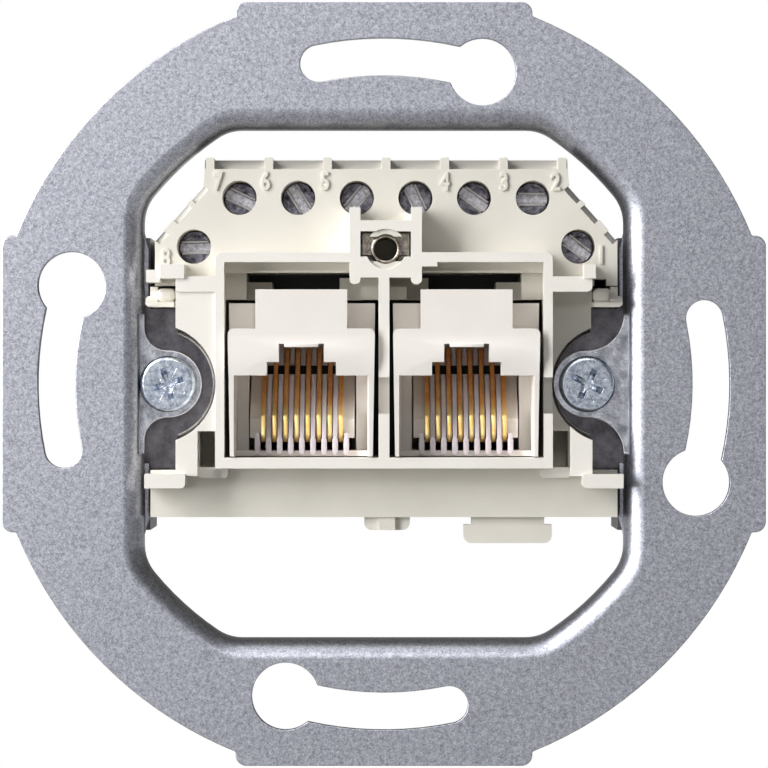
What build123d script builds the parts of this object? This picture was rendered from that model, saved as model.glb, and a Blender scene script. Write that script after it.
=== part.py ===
from build123d import *
import math
import os

# A twin eight-pole data socket for a round flush box.
# The front looks along -Y, +Z is up, and the origin is on the ring's axis at the wall face.
# Sketches are drawn in X and Z and given a front and a back along Y.

# Support ring, pressed from one sheet
SHEET_T = 1.2
EAR_HALF = 13.6
EAR_PROUD = 1.2
EAR_FILLET = 1.0
OPENING_CORNER_REACH = 4.0
OPENING_BLEND = 4.0
BEND_INNER_R = 0.7
COLLAR_BACK = 3.0
FLANGE_GAP = 0.27
FLANGE_START = 7.3
FLANGE_END = 13.9
FLANGE_SLOPE = 1.5

# Keyhole slots for the box screws
KEYHOLE_R = 3.08
KEYHOLE_SLOT_W = 3.42
KEYHOLE_LEAD = 17.5
KEYHOLE_TAIL = 11.5
KEYHOLE_COUNT = 4
KEYHOLE_LAND = 1.62
KEYHOLE_EDGE = 5.0

# Tongues, clamp plates and fixing screws
TONGUE_R = 3.1
TONGUE_FLARE = 3.3
TONGUE_RELIEF = 0.5
TONGUE_TIP_GAP = 0.26
FIX_SHIFT = 1.2
FIX_HEAD_R = 2.6
FIX_HEAD_H = 1.7
FIX_CROWN = 0.5
FIX_SHANK_R = 1.45
FIX_LENGTH = 8.0
FIX_CROSS_LENGTH = 3.0
FIX_CROSS_W = 0.6
FIX_CROSS_DEPTH = 0.8
PLATE_T = 1.2
PLATE_EDGE_R = 0.25
PLATE_ARM_HALF = 13.5
PLATE_ARM_DEPTH = 13.0
RECESS_R = 5.4
PLATE_TOP = 7.05
PLATE_BOTTOM = -7.9

# Clearances and the walls between neighbours
RUNNING_GAP = 0.1
SEAT_GAP = 0.3
THREAD_GAP = 0.05
JACK_WALL = 0.7
JACK_SIDE_GAP = 0.32
RECESS_WALL = 0.8
RECESS_TO_SIDE = 0.66
BODY_SIDE_GAP = 0.7
BODY_TOP_GAP = 2.8

# Depths of the moulded parts
BASE_FRONT = -1.0
FRAME_FRONT = -4.2
JACK_FRONT = -5.0
BOARD_FRONT = 11.0
BOARD_T = 1.6
REAR_DEPTH = 7.0
REAR_WALL = 1.2

# Base housing
BASE_BOTTOM = -12.2
SPLIT_Z = 9.0
LINTEL_OVERLAP = 0.3
LINTEL_LIP_H = 0.2
LINTEL_LIP_PROUD = 0.5
WINDOW_TOP = 11.1
BASE_WINDOW_TOP = 10.2
DIVIDER_HALF = 0.5
NEAR_BLOCK_FRONT = 0.5
NEAR_BLOCK_Z = 7.75
OUTER_NEAR_W = 1.9
INNER_NEAR_W = 1.6
INNER_NEAR_TOP = 8.95
FAR_BLOCK_FRONT = 3.0
OUTER_FAR_W = 4.2
OUTER_FAR_TOP = 9.4
INNER_FAR_W = 3.6
INNER_FAR_TOP = 9.8
HOOK_FRONT = -2.4
HOOK_W = 2.2
RIGHT_HOOK_W = 1.3
HOOK_SADDLE_R = 1.0
HOOK_SADDLE_Z = 8.45
HOOK_LIP_H = 0.5
HOOK_BULGE_W = 0.4
HOOK_BULGE_H = 1.0
HOOK_BULGE_R = 0.35
HOLLOW_WALL = 0.7
HOLLOW_W = 1.65
HOLLOW_BACK = 3.0
POCKET_W = 1.7
POCKET_TOP = -4.3
POCKET_BACK = 4.0
SMALL_TAB_X = 0.28
SMALL_TAB_W = 4.2
SMALL_TAB_BOTTOM = -13.4
SMALL_TAB_RIB_W = 1.5
LARGE_TAB_X = 11.35
LARGE_TAB_W = 8.1
LARGE_TAB_BOTTOM = -14.6
LARGE_TAB_GROOVE = 0.7
TAB_R = 0.7
TAB_FRONT = -0.4
TAB_BACK = 1.4
TAB_RIB_H = 0.4

# Front frame
FRAME_SIDE_BAR = 0.84
FRAME_TOP_BAR = 0.9
FRAME_BOTTOM_BAR = 1.0
FRAME_CORNER_R = 0.7
SIDE_PANEL_W = 3.6
WING_TOP = 9.8
WING_BOTTOM = 8.4
WING_CORNER_R = 0.5
PANEL_SET_BACK = 0.25
STUB_TOP = 10.9
STUB_BOTTOM = 9.6
STUB_ROOT_W = 0.8
STUB_PROUD = 0.25
LEFT_ARM_X = 20.4
LEFT_ARM_W = 1.25
LEFT_ARM_TOP = 10.4
LEFT_ARM_BOTTOM = 9.25
BAR_NOTCH_TOP = 0.6
BAR_NOTCH_BOTTOM = -2.7
BAR_NOTCH_DEPTH = 1.2
WALL_W = 2.0
WALL_TOP = -3.6
WALL_BOTTOM = -8.4
FOOT_TOP = -8.2
FOOT_BOTTOM = -9.5
FOOT_LAP = 0.9
FOOT_PROUD = 0.4
FOOT_R = 0.45
STEP_W = 2.8
STEP_BOTTOM = -8.6
STEP_FRONT = -1.9
STEP_R = 0.35

# Block round the centre sleeve
SLEEVE_X = 0.16
SLEEVE_Z = 12.3
SLEEVE_R = 1.32
SLEEVE_BORE_R = 1.05
SLEEVE_PROUD = 0.9
SLEEVE_BACK = 4.0
SLEEVE_EAR_T = 0.8
SLEEVE_SINK_R = 1.83
BLOCK_HALF_W = 3.3
BLOCK_BAR_W = 1.0
BLOCK_BAR_TOP = 16.1
BLOCK_CROSS_TOP = 14.9
BLOCK_SLOT_TOP = 13.9
BLOCK_SLOT_BOTTOM = 11.6
BLOCK_BOTTOM = 9.7
BLOCK_FLOOR = 0.8
BLOCK_FOOT_Z = 9.1
BLOCK_FOOT_R = 0.45
BLOCK_SHOULDER_W = 1.4
BLOCK_SHOULDER_H = 0.4

# Terminals
TERMINAL_SHIFT = 0.2
TERMINAL_PITCH = 5.38
TERMINAL_ROW = 6
TERMINAL_Z = 17.07
LOW_TERMINAL_INSET = 3.58
LOW_TERMINAL_Z = 12.6
LOW_TERMINAL_TURN = 45.0
WELL_R = 1.575
CHAMBER_FRONT = 3.9
CLAMP_SIDE = 3.6
CLAMP_HEAD_T = 2.0
CLAMP_WIRE_GAP = 2.8
CLAMP_WALL = 0.6
CLAMP_PIN = 0.8
SCREW_R = 1.2
SCREW_HEAD_H = 1.5
SCREW_SLOT_W = 0.85
SCREW_SLOT_DEPTH = 0.8
SCREW_REACH = 0.5
PIN_PROUD = 0.6
SLOT_TURNS = (-25.0, -58.0, 50.0, -65.0, -35.0, 0.0, 2.0, -37.0)

# Terminal cover outline, half widths about its own middle
COVER_TOP_RISE = 3.53
COVER_END = 0.46
COVER_SHOULDER_OUT = 0.15
COVER_SHOULDER_DROP = 2.4
COVER_SIDE_IN = 0.2
COVER_SIDE_Z = 13.2
ENTRY_STRIP_H = 0.9
ENTRY_STRIP_STEP = 0.5
ENTRY_STRIP_DEPTH = 2.4
ENTRY_RIB_W = 0.8
ENTRY_RIB_PROUD = 0.15
SLOPE_STRIP_H = 0.6
SLOPE_RIB_AT = 2.0
SLOPE_RIB_W = 0.55
SLOPE_BLOCK_AT = 4.85
SLOPE_BLOCK_W = 1.3
COVER_NOTCH_W = 1.1
COVER_NOTCH_H = 0.6

# Jacks
JACK_DRAFT = 0.2
JACK_BOTTOM = -6.6
JACK_SHOULDER_Z = 5.05
JACK_SHOULDER_R = 0.55
JACK_HUMP_HALF_W = 4.17
JACK_HUMP_TOP = 8.6
JACK_NOSE = 4.0
JACK_REAR_TOP = 7.4
JACK_HOLLOW_Z = 4.4
JACK_HOLLOW = 0.25
PLUG_HALF_W = 6.0
FLOOR_T = 0.5
FLOOR_FRONT = -0.8
PLUG_TOP = 0.78
PLUG_DEPTH = 14.8
STEP_HALF_W = 3.15
STEP_TOP = 2.0
LATCH_HALF_W = 2.05
LATCH_TOP = 3.66
LATCH_LIP_HALF_W = 1.55
LATCH_LIP_H = 0.3
LATCH_LIP_T = 0.6
LEAD_IN_TOP = 3.1
LEAD_IN = 0.6
SIDE_LEAD_W = 0.15
SIDE_LEAD_T = 0.7
GUIDE_FRONT = 2.5
GUIDE_W = 1.05
CAVITY_FRONT = -1.5
CAVITY_TOP = 3.9

# Contact wires and their comb
POLES = 8
CONTACT_PITCH = 1.016
CONTACT_W = 0.42
CONTACT_T = 0.3
CONTACT_RUN_LIFT = 0.9
CONTACT_CORNER_Y = -0.5
CONTACT_KNEE_Y = 0.2
CONTACT_KNEE_Z = -2.9
CONTACT_TIP_Y = 8.9
CONTACT_TIP_Z = 3.3
CONTACT_BEND_R = 0.45
CONTACT_SLOT_H = 0.7
COMB_RIB_W = 0.38
COMB_RIB_PROUD = 0.12
COMB_EDGE = 0.15
COMB_NOSE_W = 0.5
COMB_NOSE_T = 0.6
COMB_NOSE_TOP = -4.9
COMB_NOSE_DROP = 0.35
COMB_END_TOP = -4.5
COMB_GAP_TOP = 1.75
COMB_GAP_BOTTOM = 0.9
COMB_GAP_DEPTH = 2.4

# Sideways places, each built outwards from the plug that the jacks take
JACK_HALF_W = PLUG_HALF_W + JACK_WALL
JACK_BOTTOM_HALF_W = JACK_HALF_W - JACK_DRAFT
JACK_X = DIVIDER_HALF + JACK_SIDE_GAP + JACK_HALF_W
GUIDE_HALF_W = PLUG_HALF_W - GUIDE_W
COMB_HALF_W = GUIDE_HALF_W - COMB_EDGE
WINDOW_HALF_W = JACK_X + JACK_HALF_W + JACK_SIDE_GAP
FRAME_HALF_W = WINDOW_HALF_W + FRAME_SIDE_BAR
SIDE_PANEL_X = FRAME_HALF_W + SIDE_PANEL_W
LINTEL_HALF_W = WINDOW_HALF_W + JACK_SIDE_GAP
RECESS_X = WINDOW_HALF_W + RECESS_WALL + RECESS_R
BASE_HALF_W = RECESS_X + RECESS_TO_SIDE
OPENING_HALF_W = BASE_HALF_W + BODY_SIDE_GAP
FLANGE_X = BASE_HALF_W + FLANGE_GAP
PLATE_INNER_X = SIDE_PANEL_X
PLATE_OUTER_X = OPENING_HALF_W + BODY_SIDE_GAP
FIX_RIGHT_X = WINDOW_HALF_W + RECESS_WALL + TONGUE_TIP_GAP + TONGUE_R
FIX_LEFT_X = -(FIX_RIGHT_X + FIX_SHIFT)
WALL_OUTER_X = SIDE_PANEL_X
WALL_INNER_X = WALL_OUTER_X - WALL_W
POCKET_OUTER_X = WALL_INNER_X - RUNNING_GAP
POCKET_INNER_X = POCKET_OUTER_X - POCKET_W
COVER_SIDE_HALF_W = BASE_HALF_W - COVER_SIDE_IN
COVER_TOP_HALF_W = TERMINAL_PITCH * TERMINAL_ROW / 2 + COVER_END
COVER_SHOULDER_HALF_W = COVER_TOP_HALF_W + COVER_SHOULDER_OUT
LOW_TERMINAL_X = COVER_SIDE_HALF_W - LOW_TERMINAL_INSET

# Upright places, and the ring that goes round them
WINDOW_BOTTOM = JACK_BOTTOM - RUNNING_GAP
PLUG_FLOOR = JACK_BOTTOM + FLOOR_T
CONTACT_RUN_Z = PLUG_FLOOR + CONTACT_RUN_LIFT
FRAME_TOP = WINDOW_TOP + FRAME_TOP_BAR
FRAME_BOTTOM = WINDOW_BOTTOM - FRAME_BOTTOM_BAR
LINTEL_TOP = WINDOW_TOP + LINTEL_OVERLAP
COVER_TOP = TERMINAL_Z + COVER_TOP_RISE
COVER_SHOULDER_Z = COVER_TOP - COVER_SHOULDER_DROP
OPENING_HALF_H = COVER_TOP + BODY_TOP_GAP
OPENING_CORNER_R = OPENING_HALF_H + OPENING_CORNER_REACH
BEND_OUTER_R = BEND_INNER_R + SHEET_T
KEYHOLE_PITCH_R = OPENING_HALF_H + BEND_OUTER_R + KEYHOLE_LAND + KEYHOLE_R
RING_FLAT = KEYHOLE_PITCH_R + KEYHOLE_EDGE
RING_R = math.hypot(RING_FLAT, EAR_HALF) - EAR_PROUD

# Depths that follow, and names
FRAME_BACK = BASE_FRONT
CLAMP_FRONT = CHAMBER_FRONT + SEAT_GAP
WIRE_FRONT = CLAMP_FRONT + CLAMP_HEAD_T
WIRE_BACK = WIRE_FRONT + CLAMP_WIRE_GAP
CONTACT_SLOPE = math.atan2(CONTACT_TIP_Z - CONTACT_KNEE_Z, CONTACT_TIP_Y - CONTACT_KNEE_Y)
TONGUE_FRONT = COLLAR_BACK - SHEET_T
PLATE_FRONT = COLLAR_BACK
PLATE_BACK = PLATE_FRONT + PLATE_T
BOARD_BACK = BOARD_FRONT + BOARD_T
PLUG_BACK = JACK_FRONT + PLUG_DEPTH
PIN_END = BOARD_BACK + PIN_PROUD
BLOCK_SLOT_FLOOR = FRAME_BACK - BLOCK_FLOOR
SIDES = (-1, 1)
NAMES = {-1: "left", 1: "right"}


def span(x0, x1, z0, z1):
    """A rectangle between two X and two Z limits."""
    return Pos((x0 + x1) / 2, (z0 + z1) / 2) * Rectangle(abs(x1 - x0), abs(z1 - z0))


def slab(sketch, front, back):
    """Gives a sketch of the front view its depth along Y."""
    return Pos(0, back, 0) * extrude(Plane.XZ * sketch, back - front)


def side_slab(sketch, x0, x1):
    """Gives a sketch drawn in Y and Z its width along X."""
    return Pos(x0, 0, 0) * extrude(Plane.YZ * sketch, x1 - x0)


def outline(points):
    """A flat face inside straight edges."""
    return make_face(Polyline(*points, close=True))


def mirrored(points):
    """The points and their mirror images, as one closed outline about X = 0."""
    return points + [(-x, z) for x, z in reversed(points)]


def opening(grow=0.0):
    """The ring's inner opening, or the same opening let out by a sheet's thickness."""
    box = Rectangle(2 * (OPENING_HALF_W + grow), 2 * (OPENING_HALF_H + grow))
    shape = box & Circle(OPENING_CORNER_R + grow)
    return fillet(shape.vertices(), OPENING_BLEND + grow)


def ring_outline():
    """Round ring with a flat ear on each side."""
    disc = Circle(RING_R) & Rectangle(2 * RING_FLAT, 2 * RING_FLAT)
    ears = Rectangle(2 * EAR_HALF, 2 * RING_FLAT) + Rectangle(2 * RING_FLAT, 2 * EAR_HALF)
    shape = disc + ears
    ear_corner_r = math.hypot(EAR_HALF, RING_FLAT)
    corners = [v for v in shape.vertices() if abs(math.hypot(v.X, v.Y) - ear_corner_r) < RUNNING_GAP]
    return fillet(corners, EAR_FILLET)


def keyhole():
    """A curved slot that ends in a hole wide enough for a screw head."""
    start = 90 - KEYHOLE_LEAD
    path = CenterArc((0, 0), KEYHOLE_PITCH_R, start, KEYHOLE_LEAD + KEYHOLE_TAIL)
    return SlotArc(path, KEYHOLE_SLOT_W) + Rot(0, 0, start) * Pos(KEYHOLE_PITCH_R, 0) * Circle(KEYHOLE_R)


def tongue(side, screw_x):
    """A flared tongue that runs in from the collar's rear edge and goes round one screw."""
    reach = OPENING_HALF_W - abs(screw_x)
    flare = min(TONGUE_FLARE, reach - RUNNING_GAP)
    root_half = TONGUE_R + flare
    root = span(side * OPENING_HALF_W, side * (OPENING_HALF_W + SHEET_T), -root_half, root_half)
    strip = span(screw_x, side * OPENING_HALF_W, -TONGUE_R, TONGUE_R)
    shape = root + strip + Pos(screw_x, 0) * Circle(TONGUE_R)
    for end in (-1, 1):
        flank = span(side * (OPENING_HALF_W - flare), side * OPENING_HALF_W, 0, end * root_half)
        shape += flank - Pos(side * (OPENING_HALF_W - flare), end * root_half) * Circle(flare)
    shape -= Pos(screw_x, 0) * Circle(FIX_SHANK_R + SEAT_GAP)
    return slab(shape, TONGUE_FRONT, COLLAR_BACK)


def flanges():
    """Four narrow strips at the collar's rear edge that close the gap beside the body."""
    strip = outline([
        (OPENING_HALF_W + SHEET_T / 2, FLANGE_START),
        (OPENING_HALF_W + SHEET_T / 2, FLANGE_END),
        (OPENING_HALF_W, FLANGE_END),
        (FLANGE_X, FLANGE_END - FLANGE_SLOPE),
        (FLANGE_X, FLANGE_START),
    ])
    right = slab(strip, TONGUE_FRONT, COLLAR_BACK)
    right += mirror(right, Plane.XY)
    return right + mirror(right, Plane.YZ)


def support_ring():
    """Flat sheet with its inner edge drawn back into a collar, four keyholes and two tongues."""
    ring = slab(ring_outline() - opening(), -SHEET_T, 0)
    ring += slab(opening(SHEET_T) - opening(), 0, COLLAR_BACK)
    inner_reach = OPENING_CORNER_R + SHEET_T + RUNNING_GAP
    loops = [e for e in ring.edges() if math.hypot((e @ 0.5).X, (e @ 0.5).Z) < inner_reach]
    front = [e for e in loops if abs((e @ 0.5).Y + SHEET_T) < RUNNING_GAP]
    ring = fillet(front, BEND_OUTER_R)
    loops = [e for e in ring.edges() if math.hypot((e @ 0.5).X, (e @ 0.5).Z) < inner_reach]
    rear = [e for e in loops if abs((e @ 0.5).Y) < THREAD_GAP and abs((e @ 0).Y) < THREAD_GAP]
    ring = fillet(rear, BEND_INNER_R)
    for number in range(KEYHOLE_COUNT):
        ring -= slab(Rot(0, 0, number * 360 / KEYHOLE_COUNT) * keyhole(), -SHEET_T, 0)
    relief_half_w = OPENING_HALF_W + TONGUE_RELIEF
    relief_half_h = TONGUE_R + TONGUE_FLARE
    ring -= slab(span(-relief_half_w, relief_half_w, -relief_half_h, relief_half_h), -SHEET_T, TONGUE_FRONT)
    ring += tongue(-1, FIX_LEFT_X)
    ring += tongue(1, FIX_RIGHT_X)
    return ring + flanges()


def clamp_plate(side, screw_x):
    """Steel plate behind a tongue, round where it nests in the recess, with an arm along the body."""
    nose = Pos(side * RECESS_X, 0) * Circle(RECESS_R - SEAT_GAP)
    low = PLATE_BOTTOM + RUNNING_GAP
    high = PLATE_TOP - RUNNING_GAP
    wing = span(side * (PLATE_INNER_X + RUNNING_GAP), side * PLATE_OUTER_X, low, high)
    keep = span(0, side * PLATE_OUTER_X, PLATE_BOTTOM, PLATE_TOP)
    plate = slab((nose + wing) & keep, PLATE_FRONT, PLATE_BACK)
    plate = fillet(plate.edges().group_by(Axis.Y)[0].filter_by(GeomType.CIRCLE), PLATE_EDGE_R)
    arm = span(side * (PLATE_OUTER_X - PLATE_T), side * PLATE_OUTER_X, -PLATE_ARM_HALF, PLATE_ARM_HALF)
    plate += slab(arm, PLATE_FRONT, PLATE_FRONT + PLATE_ARM_DEPTH)
    return plate - slab(Pos(screw_x, 0) * Circle(FIX_SHANK_R + THREAD_GAP), PLATE_FRONT, PLATE_BACK)


def recess_outline(side):
    """The hollow in the mouldings for one clamp plate, open to the side."""
    nose = Pos(side * RECESS_X, 0) * Circle(RECESS_R)
    wing = span(side * PLATE_INNER_X, side * (BASE_HALF_W + SHEET_T), PLATE_BOTTOM, PLATE_TOP)
    return nose + wing


def fixing_screw(screw_x):
    """Pan-head screw with a cross recess, through the tongue into the clamp plate."""
    head_front = TONGUE_FRONT - FIX_HEAD_H
    head = slab(Circle(FIX_HEAD_R), head_front, TONGUE_FRONT)
    head = fillet(head.edges().sort_by(Axis.Y)[0], FIX_CROWN)
    arm = Rectangle(FIX_CROSS_LENGTH, FIX_CROSS_W)
    cross = arm + Rot(0, 0, 90) * arm
    head -= slab(cross, head_front, head_front + FIX_CROSS_DEPTH)
    shank = slab(Circle(FIX_SHANK_R), TONGUE_FRONT, TONGUE_FRONT + FIX_LENGTH)
    return Pos(screw_x, 0, 0) * (head + shank)


def window(side, top):
    """One of the two windows that the jacks stand in."""
    return span(side * DIVIDER_HALF, side * WINDOW_HALF_W, WINDOW_BOTTOM, top)


def base_tabs():
    """The small ribbed tab and the large grooved tab on the lower edge."""
    small = span(
        SMALL_TAB_X - SMALL_TAB_W / 2, SMALL_TAB_X + SMALL_TAB_W / 2, SMALL_TAB_BOTTOM, BASE_BOTTOM + TAB_R
    )
    large = span(
        LARGE_TAB_X - LARGE_TAB_W / 2, LARGE_TAB_X + LARGE_TAB_W / 2, LARGE_TAB_BOTTOM, BASE_BOTTOM + TAB_R
    )
    small = fillet(small.vertices().group_by(Axis.Y)[0], TAB_R)
    large = fillet(large.vertices().group_by(Axis.Y)[0], TAB_R)
    for side in SIDES:
        groove_x = LARGE_TAB_X + side * LARGE_TAB_W / 2
        groove_end = groove_x - side * LARGE_TAB_GROOVE
        large -= span(groove_x, groove_end, BASE_BOTTOM - LARGE_TAB_GROOVE, BASE_BOTTOM)
    tabs = slab(small + large, TAB_FRONT, TAB_BACK)
    rib = span(
        SMALL_TAB_X - SMALL_TAB_RIB_W / 2, SMALL_TAB_X + SMALL_TAB_RIB_W / 2, SMALL_TAB_BOTTOM, BASE_BOTTOM
    )
    return tabs + slab(rib, TAB_FRONT - TAB_RIB_H, TAB_FRONT)


def sleeve_room():
    """Blind hole that the sleeve's rear end goes into."""
    hole = Pos(SLEEVE_X, SLEEVE_Z) * Circle(SLEEVE_R + RUNNING_GAP)
    return slab(hole, BASE_FRONT, SLEEVE_BACK + SEAT_GAP)


def window_blocks(side):
    """Near and far blocks that fill the upper corners of one window."""
    edge = side * WINDOW_HALF_W
    middle = side * DIVIDER_HALF
    near = span(edge, edge - side * OUTER_NEAR_W, NEAR_BLOCK_Z, BASE_WINDOW_TOP)
    near += span(middle, middle + side * INNER_NEAR_W, NEAR_BLOCK_Z, INNER_NEAR_TOP)
    far = span(edge, edge - side * OUTER_FAR_W, NEAR_BLOCK_Z, OUTER_FAR_TOP)
    far += span(middle, middle + side * INNER_FAR_W, NEAR_BLOCK_Z, INNER_FAR_TOP)
    return slab(near, NEAR_BLOCK_FRONT, BOARD_FRONT) + slab(far, FAR_BLOCK_FRONT, BOARD_FRONT)


def base_hook(side):
    """Saddle-shaped hook above a recess, narrower on the right, with a lip at its foot."""
    outer = side * BASE_HALF_W
    width = HOOK_W if side < 0 else RIGHT_HOOK_W
    top = SPLIT_Z - RUNNING_GAP
    hook = slab(span(outer, outer - side * width, PLATE_TOP, top), HOOK_FRONT, BASE_FRONT)
    lip = span(outer, outer - side * HOOK_W, PLATE_TOP, PLATE_TOP + HOOK_LIP_H)
    hook += slab(lip, HOOK_FRONT, BASE_FRONT)
    bulge_x = outer + side * HOOK_BULGE_W
    bulge = span(outer, bulge_x, PLATE_TOP, PLATE_TOP + HOOK_BULGE_H)
    tips = bulge.vertices().sort_by(lambda v: abs(v.X))[-2:]
    hook += slab(fillet(tips, HOOK_BULGE_R), HOOK_FRONT, BASE_FRONT)
    saddle = Pos(HOOK_FRONT, HOOK_SADDLE_Z) * Circle(HOOK_SADDLE_R)
    return hook - side_slab(saddle, min(bulge_x, 0), max(bulge_x, 0))


def base_housing():
    """Moulded body round the jacks, with the lower panel, side recesses, hooks and tabs."""
    front_view = span(-BASE_HALF_W, BASE_HALF_W, BASE_BOTTOM, SPLIT_Z - RUNNING_GAP)
    front_view += span(-LINTEL_HALF_W, LINTEL_HALF_W, 0, LINTEL_TOP)
    for side in SIDES:
        front_view -= window(side, BASE_WINDOW_TOP)
    body = slab(front_view, BASE_FRONT, BOARD_FRONT)
    lip_top = BASE_WINDOW_TOP + LINTEL_LIP_H
    for side in SIDES:
        lip_end = side * (BLOCK_HALF_W + SEAT_GAP)
        lip = span(side * (WINDOW_HALF_W - OUTER_NEAR_W), lip_end, BASE_WINDOW_TOP, lip_top)
        body += slab(lip, BASE_FRONT - LINTEL_LIP_PROUD, BASE_FRONT)
        body += window_blocks(side)
        body -= slab(recess_outline(side), BASE_FRONT, PLATE_BACK)
        body += base_hook(side)
        hollow_x = side * (BASE_HALF_W - HOLLOW_WALL)
        hollow = span(hollow_x, hollow_x - side * HOLLOW_W, PLATE_TOP + HOOK_LIP_H, SPLIT_Z)
        body -= slab(hollow, HOOK_FRONT, HOLLOW_BACK)
        pocket = span(side * POCKET_INNER_X, side * POCKET_OUTER_X, POCKET_TOP, PLATE_BOTTOM)
        body -= slab(pocket, BASE_FRONT, POCKET_BACK)
    for screw_x in (FIX_LEFT_X, FIX_RIGHT_X):
        screw_end = TONGUE_FRONT + FIX_LENGTH + SEAT_GAP
        body -= slab(Pos(screw_x, 0) * Circle(FIX_SHANK_R + SEAT_GAP), PLATE_BACK, screw_end)
    return body - sleeve_room() + base_tabs()


def sleeve_block():
    """H-shaped block that holds the metal sleeve between two bars."""
    block = span(-BLOCK_HALF_W, BLOCK_HALF_W, BLOCK_BOTTOM, BLOCK_CROSS_TOP)
    for side in SIDES:
        inner = side * (BLOCK_HALF_W - BLOCK_BAR_W)
        block += span(inner, side * BLOCK_HALF_W, BLOCK_SLOT_TOP, BLOCK_BAR_TOP)
        foot = span(inner, side * BLOCK_HALF_W, BLOCK_FOOT_Z, BLOCK_BOTTOM)
        block += fillet(foot.vertices().group_by(Axis.Y)[0], BLOCK_FOOT_R)
    block = slab(Pos(SLEEVE_X, 0) * block, FRAME_FRONT, FRAME_BACK)
    slot_half = BLOCK_HALF_W - BLOCK_BAR_W
    slot = span(-slot_half, slot_half, BLOCK_SLOT_BOTTOM, BLOCK_SLOT_TOP)
    slot += Pos(0, SLEEVE_Z) * Circle(SLEEVE_SINK_R)
    block -= slab(Pos(SLEEVE_X, 0) * slot, FRAME_FRONT, BLOCK_SLOT_FLOOR)
    hole = Pos(SLEEVE_X, SLEEVE_Z) * Circle(SLEEVE_R + RUNNING_GAP)
    return block - slab(hole, BLOCK_SLOT_FLOOR, FRAME_BACK)


def frame_side(side):
    """Wing, stub, pocket wall and foot of the front frame, with an arm and a panel on the left."""
    wing = span(side * WINDOW_HALF_W, side * SIDE_PANEL_X, WING_BOTTOM, WING_TOP)
    if side > 0:
        lower = wing.vertices().group_by(Axis.Y)[0].sort_by(Axis.X)[-1]
        wing = fillet(lower, WING_CORNER_R)
    arms = slab(wing, FRAME_FRONT, FRAME_BACK)
    stub_x = LEFT_ARM_X if side < 0 else SIDE_PANEL_X + SEAT_GAP
    stub = span(side * (SIDE_PANEL_X - STUB_ROOT_W), side * stub_x, STUB_BOTTOM, STUB_TOP)
    arms += slab(stub, FRAME_FRONT - STUB_PROUD, FRAME_BACK)
    wall = span(side * WALL_INNER_X, side * WALL_OUTER_X, WALL_BOTTOM, WALL_TOP)
    if side < 0:
        arm_end = -(LEFT_ARM_X + LEFT_ARM_W)
        arms += slab(span(-LEFT_ARM_X, arm_end, LEFT_ARM_BOTTOM, LEFT_ARM_TOP), FRAME_FRONT, FRAME_BACK)
        wall += span(-WINDOW_HALF_W, -SIDE_PANEL_X, POCKET_TOP, WING_BOTTOM)
        arms += slab(wall, FRAME_FRONT + PANEL_SET_BACK, FRAME_BACK)
    else:
        arms += slab(wall, FRAME_FRONT, FRAME_BACK)
    wall_x = side * (WALL_INNER_X + RUNNING_GAP)
    step = span(wall_x, wall_x - side * STEP_W, STEP_BOTTOM, FRAME_BOTTOM + RUNNING_GAP)
    step = fillet(step.vertices().group_by(Axis.Y)[0], STEP_R)
    arms += slab(step, STEP_FRONT, FRAME_BACK)
    foot = span(side * (WALL_OUTER_X - FOOT_LAP), side * (OPENING_HALF_W - SEAT_GAP), FOOT_BOTTOM, FOOT_TOP)
    inner = foot.vertices().group_by(Axis.Y)[0].sort_by(lambda v: abs(v.X))[0]
    return arms + slab(fillet(inner, FOOT_R), FRAME_FRONT - FOOT_PROUD, FRAME_BACK)


def jack_frame():
    """Front frame with two windows, side arms and the sleeve's block."""
    shape = span(-FRAME_HALF_W, FRAME_HALF_W, FRAME_BOTTOM, FRAME_TOP)
    shape = fillet(shape.vertices().group_by(Axis.Y)[-1], FRAME_CORNER_R)
    frame = slab(shape, FRAME_FRONT, FRAME_BACK)
    for side in SIDES:
        frame += frame_side(side)
    cut = Sketch()
    for side in SIDES:
        cut += window(side, WINDOW_TOP)
        cut += Pos(side * RECESS_X, 0) * Circle(RECESS_R)
    frame -= slab(cut, FRAME_FRONT - FOOT_PROUD, FRAME_BACK)
    shoulder_x = SLEEVE_X + BLOCK_HALF_W
    shoulder = span(shoulder_x, shoulder_x + BLOCK_SHOULDER_W, WINDOW_TOP - BLOCK_SHOULDER_H, WINDOW_TOP)
    frame += slab(shoulder, FRAME_FRONT, FRAME_BACK)
    block_room = span(-BLOCK_HALF_W, BLOCK_HALF_W, BLOCK_BOTTOM, BLOCK_CROSS_TOP)
    frame -= slab(Pos(SLEEVE_X, 0) * block_room, FRAME_FRONT, FRAME_BACK)
    notches = span(-DIVIDER_HALF, DIVIDER_HALF, BAR_NOTCH_BOTTOM, BAR_NOTCH_TOP)
    notches += span(WINDOW_HALF_W, FRAME_HALF_W, BAR_NOTCH_BOTTOM, BAR_NOTCH_TOP)
    frame -= slab(notches, FRAME_FRONT, FRAME_FRONT + BAR_NOTCH_DEPTH)
    return frame + sleeve_block()


def centre_sleeve():
    """Threaded sleeve with two ears that fill the block's slot."""
    ear_x = BLOCK_HALF_W - BLOCK_BAR_W - RUNNING_GAP
    low = BLOCK_SLOT_BOTTOM + RUNNING_GAP - SLEEVE_Z
    high = BLOCK_SLOT_TOP - RUNNING_GAP - SLEEVE_Z
    ears = slab(span(-ear_x, ear_x, low, high), BLOCK_SLOT_FLOOR - SLEEVE_EAR_T, BLOCK_SLOT_FLOOR)
    tube = slab(Circle(SLEEVE_R), BLOCK_SLOT_FLOOR - SLEEVE_EAR_T - SLEEVE_PROUD, SLEEVE_BACK)
    bore = slab(Circle(SLEEVE_BORE_R), BLOCK_SLOT_FLOOR - SLEEVE_EAR_T - SLEEVE_PROUD, SLEEVE_BACK)
    return Pos(SLEEVE_X, 0, SLEEVE_Z) * (ears + tube - bore)


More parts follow.
